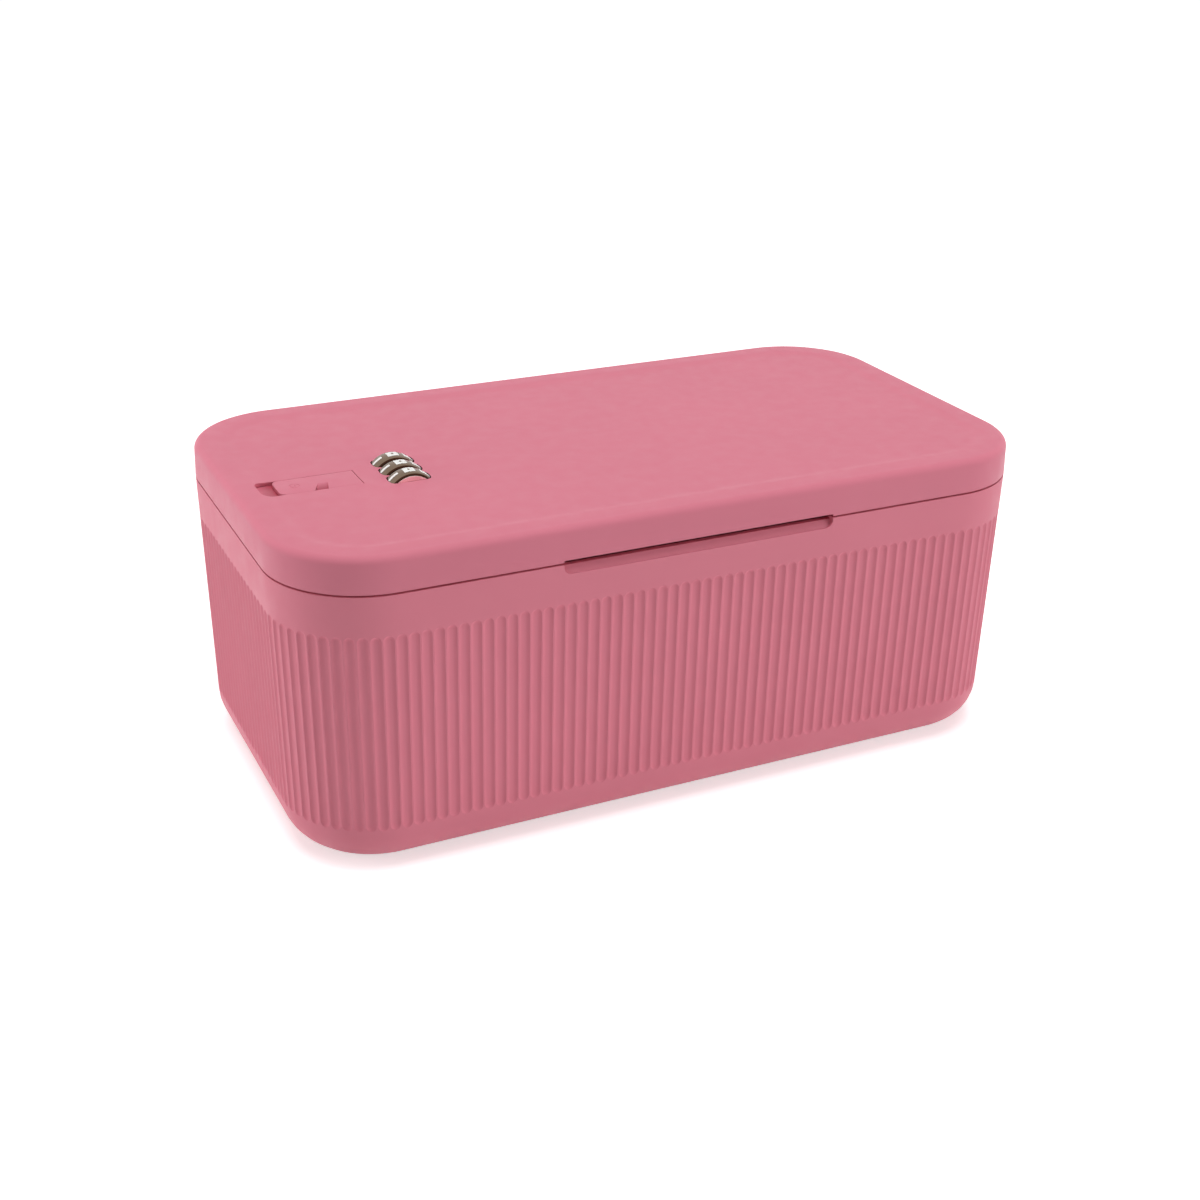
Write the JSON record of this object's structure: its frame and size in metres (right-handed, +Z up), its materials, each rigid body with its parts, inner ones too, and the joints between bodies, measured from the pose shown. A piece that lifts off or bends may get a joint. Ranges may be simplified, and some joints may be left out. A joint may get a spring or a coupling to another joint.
{
  "type": "combination lock box",
  "caption": "Rounded plastic lock box with fluted walls, a rear-hinged lid, three number dials and a sliding latch button.",
  "frame": {"origin": "on the floor, under the middle of the body's outline", "axes": "+Z up, front with the finger recess facing -Y, lock at the -X end, +X along the length"},
  "size_m": [0.26, 0.1439, 0.1081],
  "materials": {
    "body_plastic": "matte pink moulded plastic with upright flutes",
    "lid_plastic": "matte pink moulded plastic",
    "inner_plastic": "matte pink moulded plastic",
    "steel": "plain zinc-plated steel",
    "nickel": "polished dark nickel",
    "rubber": "matte"
  },
  "bodies": {
    "box": {"body_shell": "body_plastic", "hinge_pin_left": "steel", "hinge_pin_right": "steel", "keeper_bracket": "steel", "keeper_screws": "steel", "foot_front_left": "rubber", "foot_front_right": "rubber", "foot_rear_left": "rubber", "foot_rear_right": "rubber"},
    "lid": {"lid_cover": "lid_plastic", "lid_liner": "inner_plastic", "liner_screws": "steel", "lock_housing": "inner_plastic", "housing_screws": "steel", "detent_spring": "steel", "axle_spring": "steel", "return_spring": "steel"},
    "front_dial": {"dial_1": "nickel", "cam_sleeve_1": "steel"},
    "middle_dial": {"dial_2": "nickel", "cam_sleeve_2": "steel"},
    "rear_dial": {"dial_3": "nickel", "cam_sleeve_3": "steel"},
    "axle": {"dial_axle": "steel", "reset_tab": "inner_plastic"},
    "button": {"slide_button": "lid_plastic", "latch_slider": "steel", "button_screws": "steel"}
  },
  "joints": [
    {"name": "lid_hinge", "type": "hinge", "parent": "box", "child": "lid", "pos_m": [0, 0.071, 0.09425], "axis": [-1, 0, 0], "range_deg": [0, 105]},
    {"name": "button_slide", "type": "slide", "parent": "lid", "child": "button", "axis": [-1, 0, 0], "range_m": [0, 0.005], "stiffness_N_per_m": 300, "springref_m": -0.004, "deforming": ["return_spring"]},
    {"name": "front_dial_turn", "type": "hinge", "parent": "lid", "child": "front_dial", "pos_m": [-0.0745, -0.004, 0.0993], "axis": [0, 1, 0], "continuous": true},
    {"name": "middle_dial_turn", "type": "hinge", "parent": "lid", "child": "middle_dial", "pos_m": [-0.0745, -0.004, 0.0993], "axis": [0, 1, 0], "continuous": true},
    {"name": "rear_dial_turn", "type": "hinge", "parent": "lid", "child": "rear_dial", "pos_m": [-0.0745, -0.004, 0.0993], "axis": [0, 1, 0], "continuous": true},
    {"name": "reset_slide", "type": "slide", "parent": "lid", "child": "axle", "axis": [0, -1, 0], "range_m": [0, 0.002], "stiffness_N_per_m": 400, "springref_m": -0.003, "deforming": ["axle_spring"]}
  ]
}
